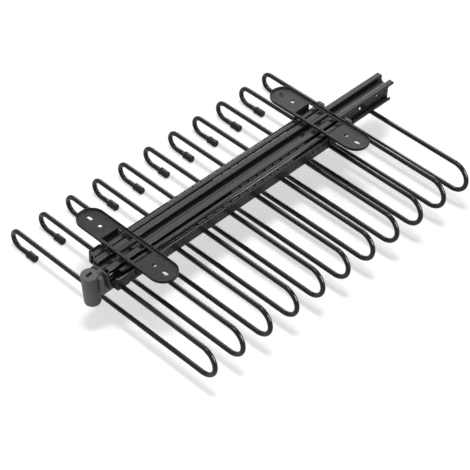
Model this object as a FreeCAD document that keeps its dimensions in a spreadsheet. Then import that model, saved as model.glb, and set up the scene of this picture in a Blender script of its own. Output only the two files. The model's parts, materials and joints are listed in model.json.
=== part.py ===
"""Pull-out trouser rack for a wardrobe: eleven wire hangers under a ball-bearing slide.

Millimetres, +Z up, +X to the right for someone in front of the wardrobe, +Y to the back.
The origin is midway between the two mounting plates, on the plane of their raised rims,
which is the face that the shelf above rests on.
"""
import FreeCAD, Part
import math
import os

import Sketcher
from FreeCAD import Placement, Vector

os.makedirs("parts", exist_ok=True)
doc = FreeCAD.newDocument("PullOutTrouserRack")
sheet = doc.addObject("Spreadsheet::Sheet", "Sizes")

SIDES = (("left", -1), ("right", 1))


class Size:
    """A length in mm together with the sheet expression that gives it."""

    def __init__(self, value, text):
        self.value = float(value)
        self.text = text

    def __add__(self, other):
        other = size(other)
        return Size(self.value + other.value, f"({self.text} + {other.text})")

    def __sub__(self, other):
        other = size(other)
        return Size(self.value - other.value, f"({self.text} - {other.text})")

    def __mul__(self, other):
        other = size(other)
        return Size(self.value * other.value, f"({self.text} * {other.text})")

    def __truediv__(self, other):
        other = size(other)
        return Size(self.value / other.value, f"({self.text} / {other.text})")

    def __neg__(self):
        return self * -1


def size(value):
    """Turn a plain number into a Size, and leave a Size as it is."""
    if isinstance(value, Size):
        return value
    return Size(value, f"({float(value):.6g})")


def drive(alias, value):
    """Write one driving dimension into the next row of the sheet."""
    row = drive.rows = drive.rows + 1
    sheet.set(f"A{row}", alias)
    sheet.set(f"B{row}", f"{value:.6g}")
    sheet.setAlias(f"B{row}", alias)
    return Size(value, f"Sizes.{alias}")


drive.rows = 0

# Wire hangers
wire = drive("wire_diameter", 6)
hanger_count = drive("hanger_count", 11)
hanger_pitch = drive("hanger_pitch", 42.5)
first_hanger = drive("first_hanger_y", -185.8)
leg_level = drive("upper_leg_level", -29.9)
leg_inset = drive("upper_leg_inset", 0.4)
rod_level = drive("rod_level", -69.2)
rod_right = drive("rod_right_reach", 166.2)
hook_left = drive("hook_left_reach", 164.5)
hook_radius = drive("hook_radius", 12)
hook_tail = drive("hook_tail", 25)
cap_diameter = drive("cap_diameter", 9.6)
cap_length = drive("cap_length", 14)
cap_bore = drive("cap_bore_depth", 11)
cap_nose = drive("cap_nose_chamfer", 1.2)

# Mounting plates
plate_spacing = drive("plate_spacing", 314)
plate_long = drive("plate_length", 149)
plate_wide = drive("plate_width", 35)
plate_deep = drive("plate_depth", 3.5)
rim_wall = drive("rim_wall", 1.5)
rim_rise = drive("rim_rise", 2)
bolt_slot_x = drive("bolt_slot_x", 60.5)
bolt_slot_long = drive("bolt_slot_length", 8)
bolt_slot_wide = drive("bolt_slot_width", 4.8)
screw_hole_x = drive("screw_hole_x", 43.4)
screw_hole = drive("screw_hole_diameter", 5)
window_inner = drive("window_inner_x", 2.1)
window_long = drive("window_length", 25)
tab_long = drive("tab_length", 22)
tab_foot = drive("tab_foot_level", -22.2)
tab_corner = drive("tab_corner_radius", 3)

# Slide: ball rows, running faces and levels
ball = drive("ball_diameter", 3.175)
race_upper = drive("race_upper_level", -12.8)
race_lower = drive("race_lower_level", -19.2)
race_depth = drive("race_depth", 0.85)
race_gap = drive("race_gap", 3)
sheet_metal = drive("sheet_thickness", 1.6)
carrier_face = drive("carrier_face_x", 13.2)
middle_wide = drive("middle_rail_width", 6.5)

# Outer rails
outer_front = drive("outer_front_y", -193)
outer_long = drive("outer_length", 377)
outer_wall = drive("outer_wall", 1.5)
outer_foot = drive("outer_foot_level", -26.2)
outer_head = drive("outer_head_level", -10.9)
outer_lip = drive("outer_lip_thickness", 1.2)
foot_lip_reach = drive("foot_lip_reach", 6.2)
web_hole_level = drive("web_hole_level", -15.7)
pilot_hole_start = drive("pilot_hole_start", 9)
pilot_hole_long = drive("pilot_hole_length", 2.5)
pilot_hole_tall = drive("pilot_hole_height", 2)
web_slot_start = drive("web_slot_start", 309)
web_slot_step = drive("web_slot_step", 9)
web_slot_long = drive("web_slot_length", 2.8)
web_slot_tall = drive("web_slot_height", 3)

# Intermediate rails
middle_front = drive("middle_front_y", -191)
middle_long = drive("middle_length", 373)
middle_foot = drive("middle_foot_level", -21.9)
middle_head = drive("middle_head_level", -7.4)
middle_round = drive("middle_edge_radius", 1.9)

# Carrier rail
carrier_front = drive("carrier_front_y", -195)
carrier_long = drive("carrier_length", 475)
flange_foot = drive("flange_foot_level", -26.9)
flange_edge = drive("flange_edge_level", -22.6)
flange_reach = drive("flange_reach_x", 17.9)
flange_upturn = drive("flange_upturn", 1.5)
ridge_foot = drive("ridge_foot_level", -9.3)
ridge_head = drive("ridge_head_level", -6.5)
ridge_inner = drive("ridge_inner_x", 5.6)
ridge_outer = drive("ridge_outer_x", 13.5)
ridge_round_inside = drive("ridge_inner_edge_radius", 2)
ridge_round_outside = drive("ridge_outer_edge_radius", 1.2)
channel_floor = drive("channel_floor_level", -15.6)
web_setback = drive("web_setback", 9.7)
catch_slot_start = drive("catch_slot_start", 411.5)
catch_slot_long = drive("catch_slot_length", 4)
catch_slot_foot = drive("catch_slot_foot_level", -17.4)
catch_slot_head = drive("catch_slot_head_level", -9.8)
catch_hole_start = drive("catch_hole_start", 442)
catch_hole_long = drive("catch_hole_length", 4.5)
catch_hole_foot = drive("catch_hole_foot_level", -13.2)
catch_hole_head = drive("catch_hole_head_level", -10.4)

# Ball retainers
retainer_wall = drive("retainer_thickness", 1)
retainer_foot = drive("retainer_foot_level", -21.9)
outer_retainer_head = drive("outer_retainer_head_level", -9.6)
inner_retainer_head = drive("inner_retainer_head_level", -8.3)
retainer_window = drive("retainer_window", 3.4)
retainer_notch = drive("retainer_notch_length", 3.2)
outer_retainer_front = drive("outer_retainer_front_y", -71)
outer_retainer_long = drive("outer_retainer_length", 157)
outer_retainer_upper = drive("outer_retainer_upper_balls", 12)
outer_retainer_lower = drive("outer_retainer_lower_balls", 6)
inner_retainer_front = drive("inner_retainer_front_y", -7.3)
inner_retainer_long = drive("inner_retainer_length", 123)
inner_retainer_upper = drive("inner_retainer_upper_balls", 9)
inner_retainer_lower = drive("inner_retainer_lower_balls", 4)

# Moulded ends of the outer rails
cap_thick = drive("front_cap_thickness", 3)
cap_clearance = drive("front_cap_clearance", 0.7)
cap_rise = drive("front_cap_rise", 0.8)
cap_drop = drive("front_cap_drop", 0.3)
buffer_inner = drive("buffer_inner_x", 16.4)
buffer_foot = drive("buffer_foot_level", -21.7)
buffer_head = drive("buffer_head_level", -8)
buffer_straight = drive("buffer_straight", 1)
buffer_round = drive("buffer_end_radius", 3)

# Grip and front bracket
grip_foot_y = drive("grip_foot_y", -209)
grip_foot_level = drive("grip_foot_level", -52.1)
grip_tall = drive("grip_height", 43.5)
grip_tilt = drive("grip_tilt_degrees", 5.4)
grip_radius = drive("grip_radius", 9.7)
grip_edge = drive("grip_edge_bevel", 0.8)
grip_seat = drive("grip_seat_depth_from_axis", 7)
seat_play_foot = drive("grip_seat_play_below", 1.7)
seat_play_head = drive("grip_seat_play_above", 0.1)
head_slot_wide = drive("head_slot_width", 3.2)
head_slot_long = drive("head_slot_length", 6.6)
head_slot_deep = drive("head_slot_depth", 6)
block_half = drive("bracket_half_width", 13.8)
block_deep = drive("bracket_block_depth", 4.5)
block_foot = drive("bracket_foot_level", -34.2)
block_head = drive("bracket_head_level", -10.2)
neck_half = drive("neck_half_width", 5)
neck_foot = drive("neck_foot_level", -31.5)
neck_head = drive("neck_head_level", -13)
shoulder_deep = drive("bracket_shoulder_depth", 3)
plug_deep = drive("bracket_plug_depth", 12)
hollow_tall = drive("bracket_hollow_height", 18)
hollow_wide = drive("bracket_hollow_width", 2.2)
hollow_deep = drive("bracket_hollow_depth", 3.5)
screw_height = drive("grip_screw_height_on_grip", 27)
screw_radius = drive("grip_screw_radius", 1.9)
screw_free = drive("grip_screw_clearance", 0.1)
screw_bite = drive("grip_screw_bite_past_axis", 2)
screw_head_radius = drive("grip_screw_head_radius", 3.4)
screw_head_tall = drive("grip_screw_head_height", 2.4)
doc.recompute()

sub_parts = []


def new_body(name, y=None):
    """Start a sub-part, set back by y if given; its label is the name of its file."""
    body = doc.addObject("PartDesign::Body", name)
    body.Label = name
    if y is not None:
        body.setExpression("Placement.Base.y", y.text)
    sub_parts.append(body)
    return body


def new_sketch(body, name, plane, offset=None):
    """Add a sketch on one of the body's own origin planes, moved along that plane's normal."""
    sketch = body.newObject("Sketcher::SketchObject", name)
    origin_plane = [o for o in body.Origin.OriginFeatures if o.Role == plane][0]
    sketch.AttachmentSupport = (origin_plane, "")
    sketch.MapMode = "FlatFace"
    if offset is not None:
        sketch.setExpression("AttachmentOffset.Base.z", offset.text)
    return sketch


def bind(sketch, kind, where, value):
    """Constrain one size of a sketch to its sheet expression."""
    index = sketch.addConstraint(Sketcher.Constraint(kind, *where, value.value))
    sketch.setExpression(f"Constraints[{index}]", value.text)


def bind_point(sketch, edge, end, point):
    """Place one end or centre of an edge by its two coordinates."""
    bind(sketch, "DistanceX", (edge, end), size(point[0]))
    bind(sketch, "DistanceY", (edge, end), size(point[1]))


def arc_between(start, end, centre, turn):
    """Arc about centre, and which of its ends the outline enters and leaves by."""
    middle = Vector(size(centre[0]).value, size(centre[1]).value, 0)
    from_start, from_end = start - middle, end - middle
    angles = [math.atan2(v.y, v.x) for v in (from_start, from_end)]
    circle = Part.Circle(middle, Vector(0, 0, 1), from_start.Length)
    if turn > 0:
        return Part.ArcOfCircle(circle, angles[0], angles[1]), (1, 2)
    return Part.ArcOfCircle(circle, angles[1], angles[0]), (2, 1)


def chain(sketch, corners, arcs=None, closed=True):
    """Draw lines through the corners; arcs[i] = (centre, turn) bends the edge after corner i."""
    arcs = arcs or {}
    points = [Vector(size(u).value, size(v).value, 0) for u, v in corners]
    count = len(points) if closed else len(points) - 1
    edges = []
    for i in range(count):
        start, end = points[i], points[(i + 1) % len(points)]
        if i in arcs:
            curve, ends = arc_between(start, end, *arcs[i])
        else:
            curve, ends = Part.LineSegment(start, end), (1, 2)
        edges.append((sketch.addGeometry(curve, False), ends))
    for i, (edge, ends) in enumerate(edges):
        bind_point(sketch, edge, ends[0], corners[i])
        if i in arcs:
            centre = arcs[i][0]
            chord = points[(i + 1) % len(points)] - points[i]
            if abs(chord.y) >= abs(chord.x):
                bind(sketch, "DistanceX", (edge, 3), size(centre[0]))
            else:
                bind(sketch, "DistanceY", (edge, 3), size(centre[1]))
        if closed or i + 1 < count:
            following, following_ends = edges[(i + 1) % count]
            joint = Sketcher.Constraint("Coincident", edge, ends[1], following, following_ends[0])
            sketch.addConstraint(joint)
        else:
            bind_point(sketch, edge, ends[1], corners[-1])


def rectangle(sketch, low_u, high_u, low_v, high_v):
    """Draw an upright rectangle."""
    chain(sketch, [(low_u, low_v), (high_u, low_v), (high_u, high_v), (low_u, high_v)])


def slot(sketch, u, v, length, width):
    """Draw a slot with round ends whose long side runs along the sketch's first axis."""
    u, v = size(u), size(v)
    half, radius = (length - width) / 2, width / 2
    corners = [(u - half, v - radius), (u + half, v - radius),
               (u + half, v + radius), (u - half, v + radius)]
    chain(sketch, corners, {1: ((u + half, v), 1), 3: ((u - half, v), 1)})


def circle(sketch, u, v, radius):
    """Draw a full circle."""
    centre = Vector(size(u).value, size(v).value, 0)
    edge = sketch.addGeometry(Part.Circle(centre, Vector(0, 0, 1), radius.value), False)
    bind_point(sketch, edge, 3, (u, v))
    bind(sketch, "Radius", (edge,), radius)


def pad(body, sketch, name, length, reverse=False, both_ways=False):
    """Extrude a sketch along its normal, against it, or half to each side."""
    feature = body.newObject("PartDesign::Pad", name)
    feature.Profile = sketch
    feature.setExpression("Length", length.text)
    feature.Reversed = reverse
    feature.Midplane = both_ways
    return feature


def pocket(body, sketch, name, length):
    """Cut a sketch half to each side of its plane, and make sure that it cuts."""
    doc.recompute()
    before = body.Shape.Volume
    feature = body.newObject("PartDesign::Pocket", name)
    feature.Profile = sketch
    feature.Midplane = True
    feature.setExpression("Length", length.text)
    doc.recompute()
    if body.Shape.Volume >= before:
        raise RuntimeError(f"{body.Label}: {name} cuts nothing")
    return feature


def pick_edges(body, along, wanted):
    """Names of the edges that keep to the given directions and whose ends are wanted."""
    names = []
    for i, edge in enumerate(body.Tip.Shape.Edges):
        box = edge.BoundBox
        spans = {"x": box.XLength, "y": box.YLength, "z": box.ZLength}
        strays = [span for axis, span in spans.items() if axis not in along]
        if max(strays, default=0) < 0.01 and all(wanted(v.Point) for v in edge.Vertexes):
            names.append(f"Edge{i + 1}")
    if not names:
        raise RuntimeError(f"{body.Label}: no such edge")
    return names


def dress(body, kind, name, amount, along, wanted):
    """Round ("Fillet", its Radius) or bevel ("Chamfer", its Size) some edges of the body."""
    doc.recompute()
    base = body.Tip
    names = pick_edges(body, along, wanted)
    feature = body.newObject(f"PartDesign::{kind}", name)
    feature.Base = (base, names)
    feature.setExpression("Radius" if kind == "Fillet" else "Size", amount.text)
    return feature


def close_to(value, target):
    """Compare two lengths."""
    return abs(value - target) < 0.01


# Mounting plates -----------------------------------------------------------------------

def mounting_plate(name, y):
    """Pressed tray with a bar between two windows, and tabs bent down to the outer rails."""
    body = new_body(name, y)
    outline = new_sketch(body, f"{name}_outline", "XY_Plane", -plate_deep)
    slot(outline, 0, 0, plate_long, plate_wide)
    pad(body, outline, f"{name}_blank", plate_deep)

    tray = new_sketch(body, f"{name}_tray", "XY_Plane")
    slot(tray, 0, 0, plate_long - rim_wall * 2, plate_wide - rim_wall * 2)
    pocket(body, tray, f"{name}_tray_floor", rim_rise * 2)

    openings = new_sketch(body, f"{name}_openings", "XY_Plane")
    tab_inner = carrier_face + race_gap * 2 + middle_wide + outer_wall
    for side in (-1, 1):
        slot(openings, bolt_slot_x * side, 0, bolt_slot_long, bolt_slot_wide)
        circle(openings, screw_hole_x * side, 0, screw_hole / 2)
        near, far = sorted((window_inner * side, tab_inner * side), key=lambda s: s.value)
        rectangle(openings, near, far, -window_long / 2, window_long / 2)
    pocket(body, openings, f"{name}_punched", plate_deep * 3)

    tabs = new_sketch(body, f"{name}_tabs", "XY_Plane", tab_foot)
    for side in (-1, 1):
        faces = (tab_inner * side, (tab_inner + outer_wall) * side)
        near, far = sorted(faces, key=lambda s: s.value)
        rectangle(tabs, near, far, -tab_long / 2, tab_long / 2)
    pad(body, tabs, f"{name}_bent_tabs", -tab_foot - (rim_rise + plate_deep) / 2)
    dress(body, "Fillet", f"{name}_tab_corners", tab_corner, "x",
           lambda p: close_to(p.z, tab_foot.value) and close_to(abs(p.y), tab_long.value / 2))

    return body


mounting_plate("front_mounting_plate", -plate_spacing / 2)
mounting_plate("rear_mounting_plate", plate_spacing / 2)


# Slide rails ---------------------------------------------------------------------------

middle_inner = carrier_face + race_gap
middle_outer = middle_inner + middle_wide
outer_face = middle_outer + race_gap
outer_back = outer_face + outer_wall


def race(x, level, inward):
    """Three points of a V-groove in a running face at x, from its lower to its upper edge."""
    return [(x, level - race_depth), (x + race_depth * inward, level), (x, level + race_depth)]


def mirrored(points, side):
    """Points of the rail on the given side, from those of the right-hand rail."""
    return [(size(x) * side, z) for x, z in points]


def outer_rail(name, side):
    """Fixed L-section: two ball races in the web and a lip below."""
    body = new_body(name, outer_front)
    head, foot = outer_head, outer_foot
    points = [(outer_back, foot), (outer_back, head), (outer_face, head)]
    points += list(reversed(race(outer_face, race_upper, 1)))
    points += list(reversed(race(outer_face, race_lower, 1)))
    points += [(outer_face, foot + outer_lip), (outer_back - foot_lip_reach, foot + outer_lip),
               (outer_back - foot_lip_reach, foot)]
    section = new_sketch(body, f"{name}_section", "XZ_Plane")
    chain(section, mirrored(points, side))
    pad(body, section, f"{name}_roll_formed", outer_long, reverse=True)
    dress(body, "Fillet", f"{name}_bends", outer_lip, "y",
           lambda p: close_to(abs(p.x), outer_back.value)
           and (close_to(p.z, head.value) or close_to(p.z, foot.value)))

    # Punched in the web: one pilot hole in front and three slots behind
    web_middle = (outer_face + outer_wall / 2) * side
    punched = new_sketch(body, f"{name}_punched", "YZ_Plane", web_middle)
    rectangle(punched, pilot_hole_start, pilot_hole_start + pilot_hole_long,
              web_hole_level - pilot_hole_tall / 2, web_hole_level + pilot_hole_tall / 2)
    for number in range(3):
        start = web_slot_start + web_slot_step * number
        rectangle(punched, start, start + web_slot_long,
                  web_hole_level - web_slot_tall / 2, web_hole_level + web_slot_tall / 2)
    pocket(body, punched, f"{name}_holes", outer_wall * 2)
    return body


def middle_rail(name, side):
    """Moving inverted U with a pair of ball races on each side."""
    body = new_body(name, middle_front)
    inner, outer, wall = middle_inner, middle_outer, sheet_metal
    points = [(inner, middle_foot)] + race(inner, race_lower, 1) + race(inner, race_upper, 1)
    points += [(inner, middle_head), (outer, middle_head)]
    points += list(reversed(race(outer, race_upper, -1)))
    points += list(reversed(race(outer, race_lower, -1)))
    points += [(outer, middle_foot), (outer - wall, middle_foot),
               (outer - wall, middle_head - wall), (inner + wall, middle_head - wall),
               (inner + wall, middle_foot)]
    section = new_sketch(body, f"{name}_section", "XZ_Plane")
    chain(section, mirrored(points, side))
    pad(body, section, f"{name}_roll_formed", middle_long, reverse=True)
    dress(body, "Fillet", f"{name}_bends", middle_round, "y",
          lambda p: close_to(p.z, middle_head.value))
    return body


for side_name, side_sign in SIDES:
    outer_rail(f"{side_name}_outer_rail", side_sign)
    middle_rail(f"{side_name}_intermediate_rail", side_sign)


def carrier_rail():
    """Hat-section rail: two ridges over a channel, ball races, and flanges for the hangers."""
    body = new_body("carrier_rail", carrier_front)
    wall = sheet_metal
    right = [(ridge_inner, channel_floor), (ridge_inner, ridge_head), (ridge_outer, ridge_head),
             (ridge_outer, ridge_foot), (carrier_face, ridge_foot)]
    right += list(reversed(race(carrier_face, race_upper, -1)))
    right += list(reversed(race(carrier_face, race_lower, -1)))
    right += [(carrier_face, flange_foot + wall), (flange_reach - flange_upturn, flange_foot + wall),
              (flange_reach - flange_upturn, flange_edge), (flange_reach, flange_edge),
              (flange_reach, flange_foot), (carrier_face - wall, flange_foot),
              (carrier_face - wall, ridge_head - wall), (ridge_inner + wall, ridge_head - wall),
              (ridge_inner + wall, channel_floor - wall)]
    left = [(-x, z) for x, z in reversed(right)]
    section = new_sketch(body, "carrier_section", "XZ_Plane")
    chain(section, right + left)
    pad(body, section, "carrier_roll_formed", carrier_long, reverse=True)
    edges = (("inner", ridge_inner, ridge_round_inside), ("outer", ridge_outer, ridge_round_outside))
    for which, corner, radius in edges:
        dress(body, "Fillet", f"carrier_{which}_ridge_edges", radius, "y",
              lambda p: close_to(p.z, ridge_head.value) and close_to(abs(p.x), corner.value))

    # The webs and flanges stop short of the ridges at the rear end
    rear = new_sketch(body, "carrier_rear_cut", "XY_Plane", (flange_foot + ridge_foot) / 2)
    for side in (-1, 1):
        inner_edge, outer_edge = carrier_face - wall, flange_reach + flange_upturn
        near, far = sorted((inner_edge * side, outer_edge * side), key=lambda s: s.value)
        rectangle(rear, near, far, carrier_long - web_setback, carrier_long + web_setback)
    pocket(body, rear, "carrier_web_ends", ridge_foot - flange_foot)

    # A catch slot and a catch hole through both webs near the rear end
    catches = new_sketch(body, "carrier_catch_holes", "YZ_Plane")
    rectangle(catches, catch_slot_start, catch_slot_start + catch_slot_long,
              catch_slot_foot, catch_slot_head)
    rectangle(catches, catch_hole_start, catch_hole_start + catch_hole_long,
              catch_hole_foot, catch_hole_head)
    pocket(body, catches, "carrier_catches", carrier_face * 3)
    return body


carrier_rail()


# Ball retainers and balls --------------------------------------------------------------

def ball_rows(length, upper, lower):
    """Level, ball count, ball spacing and first ball of the close upper and wide lower row."""
    step = length / upper
    rows = ((race_upper, upper, step), (race_lower, lower, step * 2))
    return [(level, count, spacing, (length - spacing * (count - 1)) / 2)
            for level, count, spacing in rows]


def repeat(body, name, cut, length, count):
    """Repeat a cut along the slide; the length is from the first cut to the last."""
    pattern = body.newObject("PartDesign::LinearPattern", name)
    pattern.Originals = [cut]
    axis = [o for o in body.Origin.OriginFeatures if o.Role == "Y_Axis"][0]
    pattern.Direction = (axis, [""])
    pattern.setExpression("Length", length.text)
    pattern.setExpression("Occurrences", count.text)
    body.Tip = pattern


def retainer(name, x, head, front, length, upper, lower):
    """Thin strip with a square window for each ball, notched along its head."""
    body = new_body(name, front)
    strip = new_sketch(body, f"{name}_strip", "YZ_Plane", x)
    rectangle(strip, 0, length, retainer_foot, head)
    pad(body, strip, f"{name}_pressed", retainer_wall, both_ways=True)

    half = retainer_window / 2
    for level, count, spacing, first in ball_rows(length, upper, lower):
        row = "upper" if level is race_upper else "lower"
        window = new_sketch(body, f"{name}_{row}_window", "YZ_Plane", x)
        rectangle(window, first - half, first + half, level - half, level + half)
        cut = pocket(body, window, f"{name}_{row}_first", retainer_wall * 2)
        repeat(body, f"{name}_{row}_row", cut, spacing * (count - 1), count)

    step, half_notch = length / upper, retainer_notch / 2
    notch = new_sketch(body, f"{name}_notch_side", "YZ_Plane", x)
    rectangle(notch, step - half_notch, step + half_notch, race_upper + half, head + half)
    cut = pocket(body, notch, f"{name}_first_notch", retainer_wall * 2)
    repeat(body, f"{name}_notch_row", cut, length - step * 2, upper - 1)
    return body


def faceted_ball(radius):
    """Ball drawn with fourteen flat faces whose corners lie on its true sphere."""
    half = radius / math.sqrt(2)
    faces = []
    for axis in range(3):
        for sign in (-1, 1):
            ring = []
            for turn in ((1, 0), (0, 1), (-1, 0), (0, -1)):
                corner = [0.0, 0.0, 0.0]
                corner[axis] = sign * half
                corner[(axis + 1) % 3] = turn[0] * half
                corner[(axis + 2) % 3] = turn[1] * half
                ring.append(Vector(*corner))
            faces.append(Part.Face(Part.makePolygon(ring + ring[:1])))
    for sx in (-1, 1):
        for sy in (-1, 1):
            for sz in (-1, 1):
                ring = [Vector(sx * half, sy * half, 0), Vector(0, sy * half, sz * half),
                        Vector(sx * half, 0, sz * half)]
                faces.append(Part.Face(Part.makePolygon(ring + ring[:1])))
    solid = Part.makeSolid(Part.makeShell(faces))
    if solid.Volume < 0:
        solid.reverse()
    return solid


def ball_set(name, x, front, length, upper, lower):
    """All the balls of one retainer, as separate solids in one node."""
    one = faceted_ball(ball.value / 2)
    solids = []
    for level, count, spacing, first in ball_rows(length, upper, lower):
        for i in range(int(count.value)):
            copy = one.copy()
            copy.translate(Vector(x.value, (first + spacing * i).value, level.value))
            solids.append(copy)
    balls = doc.addObject("Part::Feature", name)
    balls.Label = name
    balls.Shape = Part.makeCompound(solids)
    balls.Placement = Placement(Vector(0, front.value, 0), FreeCAD.Rotation())
    sub_parts.append(balls)
    return balls


inner_gap_middle = carrier_face + race_gap / 2
outer_gap_middle = middle_outer + race_gap / 2
for side_name, side_sign in SIDES:
    outer_sizes = (outer_retainer_front, outer_retainer_long,
                   outer_retainer_upper, outer_retainer_lower)
    inner_sizes = (inner_retainer_front, inner_retainer_long,
                   inner_retainer_upper, inner_retainer_lower)
    outer_x, inner_x = outer_gap_middle * side_sign, inner_gap_middle * side_sign
    retainer(f"{side_name}_outer_ball_cage", outer_x, outer_retainer_head, *outer_sizes)
    ball_set(f"{side_name}_outer_balls", outer_x, *outer_sizes)
    retainer(f"{side_name}_inner_ball_cage", inner_x, inner_retainer_head, *inner_sizes)
    ball_set(f"{side_name}_inner_balls", inner_x, *inner_sizes)


# Moulded ends of the outer rails -------------------------------------------------------

def front_cap(name, side):
    """Moulded cap over the front end of an outer rail, clear of the intermediate rail."""
    body = new_body(name, outer_front)
    faces = ((middle_outer + cap_clearance) * side, outer_back * side)
    near, far = sorted(faces, key=lambda s: s.value)
    face = new_sketch(body, f"{name}_face", "XZ_Plane")
    rectangle(face, near, far, outer_foot - cap_drop, outer_head + cap_rise)
    pad(body, face, f"{name}_moulded", cap_thick)
    return body


def rear_buffer(name, side):
    """Rounded stop at the rear end of an outer rail, across the intermediate rail's end."""
    body = new_body(name, outer_front + outer_long)
    inner, outer, straight, radius = buffer_inner, outer_back, buffer_straight, buffer_round
    plan = new_sketch(body, f"{name}_plan", "XY_Plane", buffer_foot)
    corners = [(inner, 0), (outer, 0), (outer, straight), (outer - radius, straight + radius),
               (inner + radius, straight + radius), (inner, straight)]
    bends = {2: (((outer - radius) * side, straight), side),
             4: (((inner + radius) * side, straight), side)}
    chain(plan, mirrored(corners, side), bends)
    pad(body, plan, f"{name}_moulded", buffer_head - buffer_foot)
    return body


for side_name, side_sign in SIDES:
    front_cap(f"{side_name}_front_cap", side_sign)
    rear_buffer(f"{side_name}_rear_buffer", side_sign)


# Front bracket, grip and its screw -----------------------------------------------------

lean = math.radians(grip_tilt.value)
lean_cosine = Size(math.cos(lean), f"cos({grip_tilt.text})")
lean_sine = Size(math.sin(lean), f"sin({grip_tilt.text})")


def leaning(x, y, z):
    """Placement expression for something that leans to the front with the grip."""
    return (f"create(<<placement>>; create(<<vector>>; {size(x).text}; {y.text}; {z.text}); "
            f"create(<<rotation>>; create(<<vector>>; 1; 0; 0); {grip_tilt.text}))")


def grip_seat_y(level):
    """Where the grip's flat seat stands at a given level."""
    rise = level - grip_foot_level
    return grip_foot_y + grip_seat / lean_cosine - rise * lean_sine / lean_cosine


def front_bracket():
    """Moulded block that plugs into the carrier rail and narrows to a neck behind the grip."""
    body = new_body("front_bracket")
    block = new_sketch(body, "bracket_block_section", "XZ_Plane", -carrier_front)
    rectangle(block, -block_half, block_half, block_foot, block_head)
    pad(body, block, "bracket_block", block_deep)
    plug = new_sketch(body, "bracket_plug_section", "XZ_Plane", -carrier_front)
    plug_half = carrier_face - sheet_metal
    rectangle(plug, -plug_half, plug_half, flange_foot, channel_floor - sheet_metal)
    pad(body, plug, "bracket_plug", plug_deep, reverse=True)

    block_front = carrier_front - block_deep
    shoulder = new_sketch(body, "bracket_shoulder_plan", "XY_Plane", neck_foot)
    chain(shoulder, [(-block_half, block_front), (-neck_half, block_front - shoulder_deep),
                     (neck_half, block_front - shoulder_deep), (block_half, block_front)])
    pad(body, shoulder, "bracket_shoulder", neck_head - neck_foot)
    neck = new_sketch(body, "bracket_neck_side", "YZ_Plane")
    chain(neck, [(block_front - 1, neck_foot), (block_front - 1, neck_head),
                 (grip_seat_y(neck_head), neck_head), (grip_seat_y(neck_foot), neck_foot)])
    pad(body, neck, "bracket_neck", neck_half * 2, both_ways=True)

    # A tall hollow in each side of the block, with round ends
    middle_level = (block_foot + block_head) / 2
    middle_y = block_front + block_deep / 2
    half_tall, half_wide = hollow_tall / 2, hollow_wide / 2
    for side_name, side in SIDES:
        hollow = new_sketch(body, f"bracket_{side_name}_hollow_side", "YZ_Plane", block_half * side)
        straight = half_tall - half_wide
        corners = [(middle_y + half_wide, middle_level - straight),
                   (middle_y + half_wide, middle_level + straight),
                   (middle_y - half_wide, middle_level + straight),
                   (middle_y - half_wide, middle_level - straight)]
        chain(hollow, corners, {1: ((middle_y, middle_level + straight), 1),
                                3: ((middle_y, middle_level - straight), 1)})
        pocket(body, hollow, f"bracket_{side_name}_hollow", hollow_deep * 2)

    bore = new_sketch(body, "bracket_bore_section", "XZ_Plane")
    axis_y = grip_foot_y - screw_height * lean_sine
    axis_level = grip_foot_level + screw_height * lean_cosine
    bore.setExpression("AttachmentOffset", leaning(0, axis_level, -axis_y))
    circle(bore, 0, 0, screw_radius + screw_free)
    pocket(body, bore, "bracket_bore", plug_deep * 6)
    return body


def revolve(body, name, points, plane, axis):
    """Turn a half section about one axis of its sketch."""
    section = new_sketch(body, f"{name}_half_section", plane)
    chain(section, points)
    feature = body.newObject("PartDesign::Revolution", name)
    feature.Profile = section
    feature.ReferenceAxis = (section, [axis])
    feature.Angle = 360


def grip():
    """Round grip with a slot in its head and a flat seat for the neck."""
    body = new_body("grip")
    revolve(body, "grip_turned", [
        (0, 0), (grip_radius - grip_edge, 0), (grip_radius, grip_edge),
        (grip_radius, grip_tall), (0, grip_tall)], "XZ_Plane", "V_Axis")
    head_slot = new_sketch(body, "grip_head_slot_plan", "XY_Plane", grip_tall)
    rectangle(head_slot, -head_slot_wide / 2, head_slot_wide / 2,
              -head_slot_long / 2, head_slot_long / 2)
    pocket(body, head_slot, "grip_head_slot", head_slot_deep * 2)
    seat = new_sketch(body, "grip_seat_side", "YZ_Plane")
    seat_foot = (neck_foot - grip_foot_level) / lean_cosine - seat_play_foot
    seat_head = (neck_head - grip_foot_level) / lean_cosine + seat_play_head
    rectangle(seat, grip_seat, grip_radius * 2, seat_foot, seat_head)
    pocket(body, seat, "grip_seat", (neck_half + seat_play_head) * 2)
    bore = new_sketch(body, "grip_bore_section", "XZ_Plane", -grip_seat)
    circle(bore, 0, screw_height, screw_radius)
    pocket(body, bore, "grip_bore", (grip_seat + screw_bite) * 2)
    body.setExpression("Placement", leaning(0, grip_foot_y, grip_foot_level))
    return body


def grip_screw():
    """Pan-head screw from inside the carrier rail through the neck into the grip."""
    body = new_body("grip_screw")
    axis_y = grip_foot_y - screw_height * lean_sine
    head_seat = (carrier_front + plug_deep - axis_y) / lean_cosine + 0.5
    revolve(body, "grip_screw_turned", [
        (-screw_bite, 0), (head_seat + screw_head_tall, 0),
        (head_seat + screw_head_tall, screw_head_radius), (head_seat, screw_head_radius),
        (head_seat, screw_radius), (-screw_bite, screw_radius)], "YZ_Plane", "H_Axis")
    axis_level = grip_foot_level + screw_height * lean_cosine
    body.setExpression("Placement", leaning(0, axis_y, axis_level))
    return body


front_bracket()
grip()
grip_screw()


# Wire hangers and their caps -----------------------------------------------------------

WIRE_FLATS = 12
BEND_CHORDS = 6


def flat_sided(sketch, u, v, radius):
    """Draw a regular outline whose flats touch the circle of the given radius."""
    half_turn = math.pi / WIRE_FLATS
    corners = []
    for i in range(WIRE_FLATS):
        turn = (2 * i + 1) * half_turn
        reach = radius / math.cos(half_turn)
        corners.append((reach * math.cos(turn) + u, reach * math.sin(turn) + v))
    chain(sketch, corners)


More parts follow.
